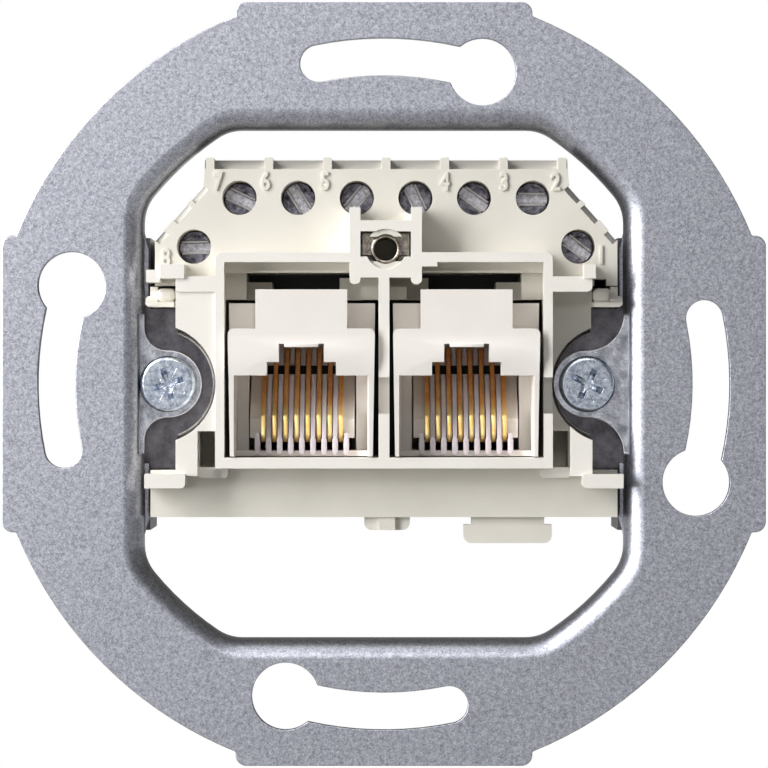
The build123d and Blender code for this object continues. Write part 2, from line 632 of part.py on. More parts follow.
def terminal_places():
    """Centre and turn of the eight terminals, the two low ones last."""
    first = TERMINAL_SHIFT - TERMINAL_PITCH * (TERMINAL_ROW - 1) / 2
    row = [(first + number * TERMINAL_PITCH, TERMINAL_Z, 0.0) for number in range(TERMINAL_ROW)]
    low = [
        (TERMINAL_SHIFT + side * LOW_TERMINAL_X, LOW_TERMINAL_Z, -side * LOW_TERMINAL_TURN)
        for side in SIDES
    ]
    return row + low


def cover_outline():
    """The terminal cover's front view: straight top, sloping corners and straight sides."""
    points = mirrored([
        (-COVER_SIDE_HALF_W, SPLIT_Z),
        (-COVER_SIDE_HALF_W, COVER_SIDE_Z),
        (-COVER_SHOULDER_HALF_W, COVER_SHOULDER_Z),
        (-COVER_TOP_HALF_W, COVER_TOP),
    ])
    return Pos(TERMINAL_SHIFT, 0) * outline(points)


def entry_strip(height):
    """Side view of the set-back strip along an edge: a small step, then a slope to the rear."""
    return outline([
        (BASE_FRONT, -height),
        (BASE_FRONT + ENTRY_STRIP_STEP, -height),
        (BASE_FRONT + ENTRY_STRIP_DEPTH, 0),
        (BASE_FRONT + ENTRY_STRIP_DEPTH, height),
        (BASE_FRONT, height),
    ])


def slope_entries():
    """Strip along the right sloping corner, broken by a rib and a block."""
    drop = COVER_SHOULDER_Z - COVER_SIDE_Z
    run = COVER_SIDE_HALF_W - COVER_SHOULDER_HALF_W
    strip = side_slab(entry_strip(SLOPE_STRIP_H), 0, math.hypot(drop, run))
    for at, width in ((SLOPE_RIB_AT, SLOPE_RIB_W), (SLOPE_BLOCK_AT, SLOPE_BLOCK_W)):
        keep = span(at - width / 2, at + width / 2, -SLOPE_STRIP_H, SLOPE_STRIP_H)
        strip -= slab(keep, BASE_FRONT, BASE_FRONT + ENTRY_STRIP_DEPTH)
    turned = Rot(0, math.degrees(math.atan2(drop, run)), 0) * strip
    return Pos(COVER_SHOULDER_HALF_W, 0, COVER_SHOULDER_Z) * turned


def terminal_cover():
    """Moulded cover with screwdriver wells, clamp chambers, wire entries and ribs."""
    front_view = cover_outline()
    lintel_room = LINTEL_HALF_W + RUNNING_GAP
    front_view -= span(-lintel_room, lintel_room, SPLIT_Z, LINTEL_TOP + RUNNING_GAP)
    notch_x = SIDE_PANEL_X + SEAT_GAP
    front_view -= span(notch_x, notch_x + COVER_NOTCH_W, SPLIT_Z, SPLIT_Z + COVER_NOTCH_H)
    cover = slab(front_view, BASE_FRONT, BOARD_FRONT)
    strip = side_slab(entry_strip(ENTRY_STRIP_H), -COVER_TOP_HALF_W, COVER_TOP_HALF_W)
    cover -= Pos(TERMINAL_SHIFT, 0, COVER_TOP) * strip
    slope = slope_entries()
    cover -= Pos(TERMINAL_SHIFT, 0, 0) * slope
    cover -= Pos(TERMINAL_SHIFT, 0, 0) * mirror(slope, Plane.YZ)
    rib_top = COVER_TOP + ENTRY_RIB_PROUD
    rib = span(-ENTRY_RIB_W / 2, ENTRY_RIB_W / 2, COVER_TOP - ENTRY_STRIP_H, rib_top)
    rib = fillet(rib.vertices().group_by(Axis.Y)[-1], ENTRY_RIB_PROUD)
    for number in range(TERMINAL_ROW + 1):
        rib_x = TERMINAL_SHIFT + (number - TERMINAL_ROW / 2) * TERMINAL_PITCH
        cover += slab(Pos(rib_x, 0) * rib, BASE_FRONT, BASE_FRONT + ENTRY_STRIP_DEPTH)
    chamber = Rectangle(CLAMP_SIDE + 2 * RUNNING_GAP, CLAMP_SIDE + 2 * RUNNING_GAP)
    wire_y = CHAMBER_FRONT + SEAT_GAP + CLAMP_HEAD_T + CLAMP_WIRE_GAP / 2
    for x, z, turn in terminal_places():
        place = Pos(x, z) * Rot(0, 0, turn)
        cover -= slab(place * Circle(WELL_R), BASE_FRONT, CHAMBER_FRONT)
        cover -= slab(place * chamber, CHAMBER_FRONT, BOARD_FRONT)
        entry = Pos(x, wire_y, z) * Rot(0, -turn, 0) * extrude(
            Circle(CLAMP_WIRE_GAP / 2 - RUNNING_GAP), CLAMP_SIDE * 2
        )
        cover -= entry
    return cover - sleeve_room()


def terminal_clamp(place):
    """Metal cage: a thick tapped front, an open wire space and a pin to the board."""
    x, z, turn = place
    cage = slab(Rectangle(CLAMP_SIDE, CLAMP_SIDE), CLAMP_FRONT, WIRE_BACK + CLAMP_WALL)
    cage -= slab(Rectangle(CLAMP_SIDE - 2 * CLAMP_WALL, CLAMP_SIDE), WIRE_FRONT, WIRE_BACK)
    cage -= slab(Circle(SCREW_R + THREAD_GAP), CLAMP_FRONT, WIRE_FRONT)
    cage += slab(Rectangle(CLAMP_PIN, CLAMP_PIN), WIRE_BACK + CLAMP_WALL, PIN_END)
    return Pos(x, 0, z) * Rot(0, -turn, 0) * cage


def terminal_screw(place, slot_turn):
    """Slotted screw whose tip reaches into the clamp's wire space."""
    x, z, turn = place
    head_front = CLAMP_FRONT - SCREW_HEAD_H
    screw = slab(Circle(WELL_R - RUNNING_GAP), head_front, CLAMP_FRONT)
    slot = Rot(0, 0, slot_turn) * Rectangle(2 * WELL_R, SCREW_SLOT_W)
    screw -= slab(slot, head_front, head_front + SCREW_SLOT_DEPTH)
    screw += slab(Circle(SCREW_R), CLAMP_FRONT, WIRE_FRONT + SCREW_REACH)
    return Pos(x, 0, z) * screw


def rear_outline():
    """Back view of the whole moulded body."""
    return outline(mirrored([
        (-BASE_HALF_W, BASE_BOTTOM),
        (-BASE_HALF_W, COVER_SIDE_Z),
        (-COVER_SHOULDER_HALF_W, COVER_SHOULDER_Z),
        (-COVER_TOP_HALF_W, COVER_TOP),
    ]))


def contact_places(side):
    """X of the eight contact wires of one jack."""
    first = side * JACK_X - CONTACT_PITCH * (POLES - 1) / 2
    return [first + number * CONTACT_PITCH for number in range(POLES)]


def circuit_board():
    """Board that fits the rear cover's ledge, with holes for every pin."""
    board = offset(rear_outline(), amount=-(REAR_WALL + RUNNING_GAP), kind=Kind.INTERSECTION)
    for x, z, turn in terminal_places():
        board -= Pos(x, z) * Rot(0, 0, turn) * Rectangle(CLAMP_PIN + RUNNING_GAP, CLAMP_PIN + RUNNING_GAP)
    hole = Rectangle(CONTACT_W + RUNNING_GAP, CONTACT_T + RUNNING_GAP)
    for side in SIDES:
        for x in contact_places(side):
            board -= Pos(x, CONTACT_RUN_Z) * hole
    return slab(board, BOARD_FRONT, BOARD_BACK)


def rear_cover():
    """Tray that closes the back, with a ledge all round that carries the board."""
    back = BOARD_FRONT + REAR_DEPTH
    tray = slab(rear_outline(), BOARD_FRONT, back)
    tray = fillet(tray.edges().group_by(Axis.Y)[-1], REAR_WALL / 2)
    seat = offset(rear_outline(), amount=-REAR_WALL, kind=Kind.INTERSECTION)
    room = offset(rear_outline(), amount=-2 * REAR_WALL, kind=Kind.INTERSECTION)
    tray -= slab(seat, BOARD_FRONT, BOARD_BACK)
    return tray - slab(room, BOARD_BACK, back - REAR_WALL)


def jack_shell(side):
    """Moulded jack: stepped nose, plug cavity with latch slot, lead-in and side guides."""
    nose = outline(mirrored([
        (-JACK_BOTTOM_HALF_W, JACK_BOTTOM),
        (-JACK_HALF_W, JACK_SHOULDER_Z),
        (-JACK_HUMP_HALF_W, JACK_SHOULDER_Z),
        (-JACK_HUMP_HALF_W, JACK_HUMP_TOP),
    ]))
    shoulders = nose.vertices().filter_by(lambda v: abs(abs(v.X) - JACK_HALF_W) < THREAD_GAP)
    shell = slab(fillet(shoulders, JACK_SHOULDER_R), JACK_FRONT, JACK_FRONT + JACK_NOSE)
    rear = outline(mirrored([(-JACK_BOTTOM_HALF_W, JACK_BOTTOM), (-JACK_HALF_W, JACK_REAR_TOP)]))
    shell += slab(rear, JACK_FRONT + JACK_NOSE, BOARD_FRONT)
    face = outline([
        (JACK_FRONT, LEAD_IN_TOP),
        (JACK_FRONT + LEAD_IN, PLUG_TOP),
        (JACK_FRONT + LEAD_IN, JACK_BOTTOM),
        (JACK_FRONT, JACK_BOTTOM),
    ])
    hollow = outline([
        (JACK_FRONT, LEAD_IN_TOP),
        (JACK_FRONT + JACK_HOLLOW, JACK_HOLLOW_Z),
        (JACK_FRONT, JACK_HUMP_TOP),
    ])
    shell -= side_slab(face, -JACK_HALF_W, JACK_HALF_W)
    shell -= side_slab(hollow, -JACK_HALF_W, JACK_HALF_W)
    for side_of_plug in SIDES:
        edge = side_of_plug * PLUG_HALF_W
        lead_front = JACK_FRONT + LEAD_IN
        lead = outline([
            (edge, lead_front),
            (edge + side_of_plug * SIDE_LEAD_W, lead_front),
            (edge, lead_front + SIDE_LEAD_T),
        ])
        shell -= Pos(0, 0, JACK_BOTTOM) * extrude(lead, PLUG_TOP - JACK_BOTTOM, dir=(0, 0, 1))
    shell -= slab(span(-PLUG_HALF_W, PLUG_HALF_W, JACK_BOTTOM, PLUG_TOP), JACK_FRONT, FLOOR_FRONT)
    shell -= slab(span(-PLUG_HALF_W, PLUG_HALF_W, PLUG_FLOOR, PLUG_TOP), JACK_FRONT, GUIDE_FRONT)
    shell -= slab(span(-GUIDE_HALF_W, GUIDE_HALF_W, PLUG_FLOOR, PLUG_TOP), GUIDE_FRONT, PLUG_BACK)
    shell -= slab(span(-GUIDE_HALF_W, GUIDE_HALF_W, PLUG_FLOOR, CAVITY_TOP), CAVITY_FRONT, PLUG_BACK)
    shell -= slab(span(-STEP_HALF_W, STEP_HALF_W, PLUG_FLOOR, STEP_TOP), JACK_FRONT, PLUG_BACK)
    shell -= slab(span(-LATCH_HALF_W, LATCH_HALF_W, PLUG_FLOOR, LATCH_TOP), JACK_FRONT, PLUG_BACK)
    lip = span(-LATCH_LIP_HALF_W, LATCH_LIP_HALF_W, LATCH_TOP - LATCH_LIP_H, LATCH_TOP)
    shell += slab(lip, JACK_FRONT, JACK_FRONT + LATCH_LIP_T)
    row_half = COMB_HALF_W - COMB_RIB_W
    slot_half = CONTACT_SLOT_H / 2
    pin_row = span(-row_half, row_half, CONTACT_RUN_Z - slot_half, CONTACT_RUN_Z + slot_half)
    shell -= slab(pin_row, PLUG_BACK, BOARD_FRONT)
    return Pos(side * JACK_X, 0, 0) * shell


def slope_z(y, lift):
    """Height at depth y of a line beside the contact slope, lifted square to it."""
    return CONTACT_KNEE_Z + (y - CONTACT_KNEE_Y) * math.tan(CONTACT_SLOPE) + lift / math.cos(CONTACT_SLOPE)


def contact_wire(x):
    """Gold-plated strip: from the board, up its steep front and back along the slope."""
    path = FilletPolyline(
        (x, PIN_END, CONTACT_RUN_Z),
        (x, CONTACT_CORNER_Y, CONTACT_RUN_Z),
        (x, CONTACT_KNEE_Y, CONTACT_KNEE_Z),
        (x, CONTACT_TIP_Y, CONTACT_TIP_Z),
        radius=CONTACT_BEND_R,
    )
    section = Plane(path @ 0, x_dir=(1, 0, 0), z_dir=path % 0) * Rectangle(CONTACT_W, CONTACT_T)
    return sweep(section, path)


def comb_rib(at_end):
    """One rib: a rounded nose in front of the wires, and a web that follows their slope or stays low."""
    back = PLUG_BACK - RUNNING_GAP
    low = PLUG_FLOOR + THREAD_GAP
    lift = CONTACT_T / 2 + COMB_RIB_PROUD
    nose_front = FLOOR_FRONT - RUNNING_GAP - COMB_NOSE_T
    if at_end:
        web = span(nose_front, back, low, COMB_END_TOP)
    else:
        web = outline([
            (nose_front, low),
            (nose_front, COMB_NOSE_TOP),
            (CONTACT_KNEE_Y - lift, CONTACT_KNEE_Z),
            (CONTACT_TIP_Y, slope_z(CONTACT_TIP_Y, lift)),
            (back, slope_z(CONTACT_TIP_Y, lift)),
            (back, low),
        ])
    half = COMB_NOSE_W / 2
    nose = span(-half, half, PLUG_FLOOR - COMB_NOSE_DROP + half, COMB_NOSE_TOP - half)
    nose += Pos(0, PLUG_FLOOR - COMB_NOSE_DROP + half) * Circle(half)
    nose += Pos(0, COMB_NOSE_TOP - half) * Circle(half)
    return side_slab(web, -COMB_RIB_W / 2, COMB_RIB_W / 2) + slab(nose, nose_front, nose_front + COMB_NOSE_T)


def contact_comb(side):
    """Ribbed wedge under the contact slope that keeps the wires apart, with a cross gap."""
    back = PLUG_BACK - RUNNING_GAP
    under = CONTACT_RUN_Z + CONTACT_T / 2 + RUNNING_GAP
    drop = -(CONTACT_T / 2 + RUNNING_GAP)
    wedge = outline([
        (CONTACT_KNEE_Y + CONTACT_T + RUNNING_GAP, under),
        (CONTACT_KNEE_Y + CONTACT_T + RUNNING_GAP, CONTACT_KNEE_Z - CONTACT_T),
        (CONTACT_TIP_Y, slope_z(CONTACT_TIP_Y, drop)),
        (back, slope_z(CONTACT_TIP_Y, drop)),
        (back, under),
    ])
    comb = side_slab(wedge, -COMB_HALF_W, COMB_HALF_W)
    for number in range(POLES + 1):
        rib = comb_rib(at_end=number in (0, POLES))
        comb += Pos((number - POLES / 2) * CONTACT_PITCH, 0, 0) * rib
    gap_y = CONTACT_KNEE_Y + (COMB_GAP_BOTTOM - CONTACT_KNEE_Z) / math.tan(CONTACT_SLOPE)
    gap = span(-JACK_HALF_W, JACK_HALF_W, COMB_GAP_BOTTOM, COMB_GAP_TOP)
    comb -= slab(gap, 0, gap_y + COMB_GAP_DEPTH)
    return Pos(side * JACK_X, 0, 0) * comb


def all_pieces():
    """Every separate piece by its node's name."""
    pieces = {
        "support_ring": support_ring(),
        "jack_frame": jack_frame(),
        "terminal_cover": terminal_cover(),
        "base_housing": base_housing(),
        "rear_cover": rear_cover(),
        "circuit_board": circuit_board(),
        "centre_sleeve": centre_sleeve(),
        "clamp_plate_left": clamp_plate(-1, FIX_LEFT_X),
        "clamp_plate_right": clamp_plate(1, FIX_RIGHT_X),
        "fixing_screws": Compound(children=[fixing_screw(x) for x in (FIX_LEFT_X, FIX_RIGHT_X)]),
    }
    places = terminal_places()
    pieces["terminal_screws"] = Compound(
        children=[terminal_screw(place, turn) for place, turn in zip(places, SLOT_TURNS)]
    )
    for number, place in enumerate(places, start=1):
        pieces[f"terminal_clamp_{number}"] = terminal_clamp(place)
    for side in SIDES:
        pieces[f"jack_shell_{NAMES[side]}"] = jack_shell(side)
        pieces[f"contact_comb_{NAMES[side]}"] = contact_comb(side)
        for number, x in enumerate(contact_places(side), start=1):
            pieces[f"contact_{NAMES[side]}_{number}"] = contact_wire(x)
    return pieces


os.makedirs("parts", exist_ok=True)
for name, piece in all_pieces().items():
    export_step(piece, f"parts/{name}.step")
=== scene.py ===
# %% [markdown]
# # A twin data socket insert
# The real object is a moulded socket body screwed to a pressed steel support ring. It sits in a
# round flush box, and a cover plate later hides it. Here the measured model is loaded first, and
# every finish and every reworked piece is then made around it, in metres and in the same place.

# %% Load the measured model
import math
import bmesh
import bpy
from mathutils import Matrix, Vector


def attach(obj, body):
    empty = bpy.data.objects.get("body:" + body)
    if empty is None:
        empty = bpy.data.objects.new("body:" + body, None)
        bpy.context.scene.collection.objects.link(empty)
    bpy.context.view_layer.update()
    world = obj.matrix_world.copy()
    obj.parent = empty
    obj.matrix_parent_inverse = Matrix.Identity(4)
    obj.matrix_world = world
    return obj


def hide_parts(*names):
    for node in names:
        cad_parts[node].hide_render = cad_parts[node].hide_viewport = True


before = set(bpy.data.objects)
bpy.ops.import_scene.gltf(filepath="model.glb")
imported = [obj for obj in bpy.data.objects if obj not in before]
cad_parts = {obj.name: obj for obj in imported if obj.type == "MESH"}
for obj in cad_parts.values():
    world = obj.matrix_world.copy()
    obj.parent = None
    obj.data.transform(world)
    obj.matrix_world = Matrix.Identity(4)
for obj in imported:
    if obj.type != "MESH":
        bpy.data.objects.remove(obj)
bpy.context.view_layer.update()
MM = 0.001
BODY = "root"
node_names = sorted(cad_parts)

# %% [markdown]
# ## Camera
# The photograph looks straight at the ring from a long way off. The ring is 70 mm across its flats
# and fills 764 of the picture's 768 pixels, so 768 pixels are 70.35 mm at the ring's front face.
# A small change of scale between the jack faces and the contact wires gives the distance.

# %% Place the camera
PICTURE_PX = 768
RING_PX = 764
RING_ACROSS = 70 * MM
RING_FRONT_Y = -1.2 * MM
CAMERA_DISTANCE = 450 * MM
SENSOR = 36.0

scene = bpy.context.scene
camera_data = bpy.data.cameras.new("front_camera")
camera_data.sensor_width = SENSOR
camera_data.lens = SENSOR * CAMERA_DISTANCE / (RING_ACROSS * PICTURE_PX / RING_PX)
camera_data.clip_start = 10 * MM
camera_data.clip_end = 10
camera = bpy.data.objects.new("front_camera", camera_data)
camera.location = (0, RING_FRONT_Y - CAMERA_DISTANCE, 0)
camera.rotation_euler = (math.radians(90), 0, 0)
scene.collection.objects.link(camera)
scene.camera = camera
scene.view_settings.view_transform = "Standard"
print("lens", round(camera_data.lens, 1), "mm")

# %% [markdown]
# ## Helpers for materials
# Colours are written as they look on screen, in hex, and one function turns them into the linear
# values that the shader works in. One more function adds a node, sets it and links it.


# %% Colour and node helpers
def linear(hex_colour):
    """Screen colour, such as A9ADB5, as a linear colour with alpha."""
    channels = [int(hex_colour[i:i + 2], 16) / 255 for i in (0, 2, 4)]
    return [c / 12.92 if c <= 0.04045 else ((c + 0.055) / 1.055) ** 2.4 for c in channels] + [1.0]


def add(tree, kind, settings=None, **inputs):
    """Adds a node, sets its properties, and sets or links its inputs by name or number."""
    node = tree.nodes.new(kind)
    for key, value in (settings or {}).items():
        setattr(node, key, value)
    for key, value in inputs.items():
        by_number = key[0] == "_" and key[1:].isdigit()
        socket = node.inputs[int(key[1:])] if by_number else node.inputs[key.replace("_", " ")]
        if isinstance(value, bpy.types.NodeSocket):
            tree.links.new(value, socket)
        else:
            socket.default_value = value
    return node


# %% [markdown]
# ## Light
# The photograph has one broad soft source at the upper left, which leaves soft shadows on the right
# of each step, and a pure white background. The world is white where the camera sees it. For the
# metal it is a light tent that is brighter at the upper left, and for the rest it is a soft fill.
# Three lamps come on top. The tall key lamp far out on the left does most of the work, a small
# front lamp reaches into the wells, and a sheen lamp shows only as a gleam on metal and plastic.

# %% Set up the world
world = bpy.data.worlds.new("light_tent")
scene.world = world
world.use_nodes = True
world_tree = world.node_tree
world_tree.nodes.clear()
TENT_BRIGHT = 2.6
TENT_DIM = 0.18
TENT_MIDDLE = (-0.72, -0.42, 0.55)
TENT_EDGE = 0.32
TENT_FULL = 0.9
FILL = 0.07
directions = add(world_tree, "ShaderNodeTexCoord")
toward_key = add(world_tree, "ShaderNodeVectorMath", {"operation": "DOT_PRODUCT"},
                 _0=directions.outputs["Generated"], _1=TENT_MIDDLE)
tent = add(world_tree, "ShaderNodeMapRange", {"interpolation_type": "SMOOTHSTEP"},
           Value=toward_key.outputs["Value"], From_Min=TENT_EDGE, From_Max=TENT_FULL,
           To_Min=TENT_DIM, To_Max=TENT_BRIGHT)
rays = add(world_tree, "ShaderNodeLightPath")
fill_or_tent = add(world_tree, "ShaderNodeMix", {"data_type": "FLOAT"},
                   Factor=rays.outputs["Is Glossy Ray"], A=FILL, B=tent.outputs["Result"])
seen = add(world_tree, "ShaderNodeMath", {"operation": "MAXIMUM"},
           _0=rays.outputs["Is Camera Ray"], _1=rays.outputs["Is Transmission Ray"])
strength = add(world_tree, "ShaderNodeMix", {"data_type": "FLOAT"},
               Factor=seen.outputs["Value"], A=fill_or_tent.outputs["Result"], B=1.0)
background = add(world_tree, "ShaderNodeBackground", Color=(1, 1, 1, 1),
                 Strength=strength.outputs["Result"])
add(world_tree, "ShaderNodeOutputWorld", Surface=background.outputs["Background"])
print("world fill", FILL, "tent", TENT_DIM, "to", TENT_BRIGHT)


# %% Add the lamps
def soft_lamp(name, place, width, height, watts):
    """A rectangular area lamp that looks at the middle of the socket."""
    data = bpy.data.lights.new(name, "AREA")
    data.shape = "RECTANGLE"
    data.size = width
    data.size_y = height
    data.energy = watts
    lamp = bpy.data.objects.new(name, data)
    lamp.location = place
    lamp.rotation_euler = (-Vector(place)).to_track_quat("-Z", "Y").to_euler()
    scene.collection.objects.link(lamp)
    return lamp


KEY_WATTS = 10.2
SHEEN_WATTS = 0.70
FRONT_WATTS = 0.30
soft_lamp("key_lamp", (-0.64, -0.40, 0.27), 0.34, 0.75, KEY_WATTS)
soft_lamp("front_lamp", (0.02, -0.60, 0.26), 0.10, 0.10, FRONT_WATTS)
sheen_lamp = soft_lamp("sheen_lamp", (-0.20, -0.24, 0.10), 0.14, 0.14, SHEEN_WATTS)
sheen_lamp.visible_diffuse = False
print("key, front and sheen lamps")

# %% [markdown]
# ## Floor
# The socket is held up by its ring, so the floor lies well below it and takes its soft shadow. The
# paint is a mid grey, so that little light comes back up from it. What looks at the floor, whether
# eye or mirror, sees it paler, and away from the object it turns into the white of the background,
# so that no edge of it shows.

# %% Lay the floor
FLOOR_Z = -75 * MM
FLOOR_SIZE = 3.0
SHADOW_REACH = 0.12
WHITE_FROM = 0.42
PALE_SHARE = 0.6
bpy.ops.object.select_all(action="DESELECT")
bpy.ops.mesh.primitive_plane_add(size=FLOOR_SIZE, location=(0, 0, FLOOR_Z))
floor = bpy.context.object
floor.name = "floor"
bpy.ops.object.transform_apply(location=True, rotation=True, scale=True)
floor_paint = bpy.data.materials.new("matt_white_sweep")
floor_paint.use_nodes = True
tree = floor_paint.node_tree
paint = tree.nodes["Principled BSDF"]
paint.inputs["Base Color"].default_value = linear("959593")
paint.inputs["Roughness"].default_value = 0.8
floor_spot = add(tree, "ShaderNodeTexCoord")
away = add(tree, "ShaderNodeVectorMath", {"operation": "LENGTH"}, _0=floor_spot.outputs["Object"])
fade = add(tree, "ShaderNodeMapRange", {"interpolation_type": "SMOOTHSTEP"},
           Value=away.outputs["Value"], From_Min=SHADOW_REACH, From_Max=WHITE_FROM,
           To_Min=PALE_SHARE, To_Max=1.0)
floor_rays = add(tree, "ShaderNodeLightPath")
direct = add(tree, "ShaderNodeMath", {"operation": "MAXIMUM"},
             _0=floor_rays.outputs["Is Camera Ray"], _1=floor_rays.outputs["Is Transmission Ray"])
looked_at = add(tree, "ShaderNodeMath", {"operation": "MAXIMUM"},
                _0=direct.outputs["Value"], _1=floor_rays.outputs["Is Glossy Ray"])
share = add(tree, "ShaderNodeMath", {"operation": "MULTIPLY"},
            _0=looked_at.outputs["Value"], _1=fade.outputs["Result"])
white = add(tree, "ShaderNodeEmission", Color=(1, 1, 1, 1), Strength=1.0)
mixed = add(tree, "ShaderNodeMixShader", _0=share.outputs["Value"], _1=paint.outputs["BSDF"],
            _2=white.outputs["Emission"])
tree.links.new(mixed.outputs["Shader"], tree.nodes["Material Output"].inputs["Surface"])
floor.data.materials.append(floor_paint)
print("floor at", FLOOR_Z / MM, "mm")

# %% [markdown]
# ## Finishes
# Each finish starts from what the real material is and how its surface was made. Patterns read
# object coordinates in metres, so their scale is one over the real size of what they show.


# %% Material helpers
def new_finish(name):
    """An empty material, the tree that it lives in, and its Principled shader."""
    finish = bpy.data.materials.new(name)
    finish.use_nodes = True
    return finish, finish.node_tree, finish.node_tree.nodes["Principled BSDF"]


def per_mm(size_mm):
    """Pattern scale for a feature of this many millimetres, in object coordinates."""
    return 1 / (size_mm * MM)


def speckle(tree, size_mm, detail=3.0, roughness=0.6, stretch=(1, 1, 1)):
    """Noise whose patches are about this many millimetres across."""
    place = add(tree, "ShaderNodeTexCoord")
    turned = add(tree, "ShaderNodeMapping", Vector=place.outputs["Object"], Scale=stretch)
    noise = add(tree, "ShaderNodeTexNoise", Vector=turned.outputs["Vector"], Scale=per_mm(size_mm),
                Detail=detail, Roughness=roughness)
    return noise.outputs[0]


def two_tone(tree, factor, low, high, dark, light):
    """A colour that runs from dark to light as the factor goes from low to high."""
    ramp = add(tree, "ShaderNodeValToRGB", Fac=factor)
    ramp.color_ramp.elements[0].position = low
    ramp.color_ramp.elements[0].color = linear(dark)
    ramp.color_ramp.elements[1].position = high
    ramp.color_ramp.elements[1].color = linear(light)
    return ramp.outputs["Color"]


def roughen(tree, shader, height, strength, depth_mm):
    """Bump of the given depth under the shader."""
    bump = add(tree, "ShaderNodeBump", Strength=strength, Distance=depth_mm * MM, Height=height)
    tree.links.new(bump.outputs["Normal"], shader.inputs["Normal"])


# %% [markdown]
# ### Zinc-coated sheet
# Hot-dip galvanised steel sheet, blanked and pressed. The zinc sets in crystals that are only
# tenths of a millimetre here, so the eye sees a fine salt-and-pepper grain on a soft metal sheen.

# %% Galvanised sheet
galvanised, tree, shader = new_finish("hot_dip_galvanised_sheet")
SPANGLE_MM = 0.42
GRAIN_MM = 0.14
spangle = speckle(tree, SPANGLE_MM, 4.0, 0.8)
grain = speckle(tree, GRAIN_MM, 2.0)
both = add(tree, "ShaderNodeMix", {"data_type": "FLOAT"}, Factor=0.5, A=spangle, B=grain)
tone = two_tone(tree, both.outputs["Result"], 0.37, 0.63, "74757E", "AFB1B9")
tree.links.new(tone, shader.inputs["Base Color"])
shader.inputs["Metallic"].default_value = 1.0
shader.inputs["Roughness"].default_value = 0.38
roughen(tree, shader, both.outputs["Result"], 0.22, 0.02)

# %% [markdown]
# ### Moulded ABS
# ABS moulded in spark-eroded tools: a warm off-white, satin, with a barely visible grain. The front
# frame and the jacks are whiter than the body and the terminal cover behind them.


# %% ABS mouldings
def moulded_abs(name, dark, light, roughness):
    """Satin moulded plastic with a faint tool grain and slow shifts of tone."""
    finish, tree, shader = new_finish(name)
    cloud = speckle(tree, 6.0, 2.0)
    tree.links.new(two_tone(tree, cloud, 0.3, 0.7, dark, light), shader.inputs["Base Color"])
    shader.inputs["Roughness"].default_value = roughness
    shader.inputs["IOR"].default_value = 1.54
    roughen(tree, shader, speckle(tree, 0.25, 2.0), 0.15, 0.015)
    return finish


front_abs = moulded_abs("moulded_abs_front", "EEEAE2", "F4F0E9", 0.42)
jack_abs = moulded_abs("moulded_abs_jack", "F2ECE5", "F7F2EC", 0.40)
body_abs = moulded_abs("moulded_abs_body", "DCD8CD", "E3DFD5", 0.48)

# %% [markdown]
# ### Small metal parts
# The clamp plates are steel painted dark as shade, the fixing screws bright zinc plate, the
# terminal screws dull plated steel, the sleeve nickelled brass, and the contact wires gold on
# nickel.


# %% Metals
def plated(name, dark, light, roughness, mark_mm, depth_mm=0.01, metal=1.0):
    """A bare or plated metal with small marks from handling."""
    finish, tree, shader = new_finish(name)
    marks = speckle(tree, mark_mm, 4.0, 0.7)
    tree.links.new(two_tone(tree, marks, 0.35, 0.65, dark, light), shader.inputs["Base Color"])
    shader.inputs["Metallic"].default_value = metal
    shader.inputs["Roughness"].default_value = roughness
    roughen(tree, shader, marks, 0.3, depth_mm)
    return finish


# Painted shade: the clamp plates' steel is made dark for the shade they lie in behind the tongues.
steel_painted_shade = plated("steel_plate_painted_shade", "464448", "706D72", 0.28, 2.6, 0.15)
zinc_plate = plated("bright_zinc_plate", "8E98A8", "D4DAE4", 0.24, 0.45, 0.06)
terminal_plate = plated("dull_plated_steel", "1C1A20", "8E8B96", 0.24, 0.7, 0.30)
# Painted light: a lighter finish for the slot floors of the terminal screws.
slot_floor_painted_light = plated("slot_floor_painted_highlight", "8E8C94", "E2E0E6", 0.30, 0.35, 0.10)
# Painted highlight: a near-white, part-diffuse finish for edges that are to read as bright lines.
edge_painted_highlight = plated("edge_finish_painted_highlight", "DCDAE0", "F4F3F6", 0.45, 0.4, metal=0.4)
nickel_brass = plated("nickelled_brass", "5E5650", "B4AA9C", 0.24, 0.5, 0.04)
# Painted highlight: smoother zinc made lighter than the sheet, for the tongue fronts.
tongue_painted_highlight = plated("smooth_zinc_painted_highlight", "8C8E98", "D8DAE2", 0.20, 1.6, 0.20)

# %% [markdown]
# ### Contact wires
# Phosphor bronze strip with selective gold plate in a warm amber. Low on the steep front, where the
# plug touches, the gold is painted paler as a painted highlight.

# %% Gold on the contact wires
GOLD_HIGHLIGHT_TOP = -1.2 * MM
GOLD_HIGHLIGHT_FULL = -2.9 * MM
gold_with_painted_highlight, tree, shader = new_finish("gold_plate_painted_highlight")
streaks = speckle(tree, 1.5, 4.0, 0.7)
amber = two_tone(tree, streaks, 0.35, 0.65, "F0A050", "FFC274")
gold_painted_highlight = two_tone(tree, streaks, 0.35, 0.65, "FFD272", "FFE8A4")
# Painted highlight: below the bend, lower down in Z, the amber turns to a pale gold.
place = add(tree, "ShaderNodeTexCoord")
axes = add(tree, "ShaderNodeSeparateXYZ", Vector=place.outputs["Object"])
gold_highlight_zone = add(tree, "ShaderNodeMapRange", {"interpolation_type": "SMOOTHSTEP"},
           Value=axes.outputs["Z"], From_Min=GOLD_HIGHLIGHT_TOP, From_Max=GOLD_HIGHLIGHT_FULL)
gold_tone = add(tree, "ShaderNodeMix", {"data_type": "RGBA"}, _0=gold_highlight_zone.outputs["Result"],
                _6=amber, _7=gold_painted_highlight)
tree.links.new(gold_tone.outputs[2], shader.inputs["Base Color"])
shader.inputs["Metallic"].default_value = 0.45
shader.inputs["Roughness"].default_value = 0.36
roughen(tree, shader, streaks, 0.3, 0.004)

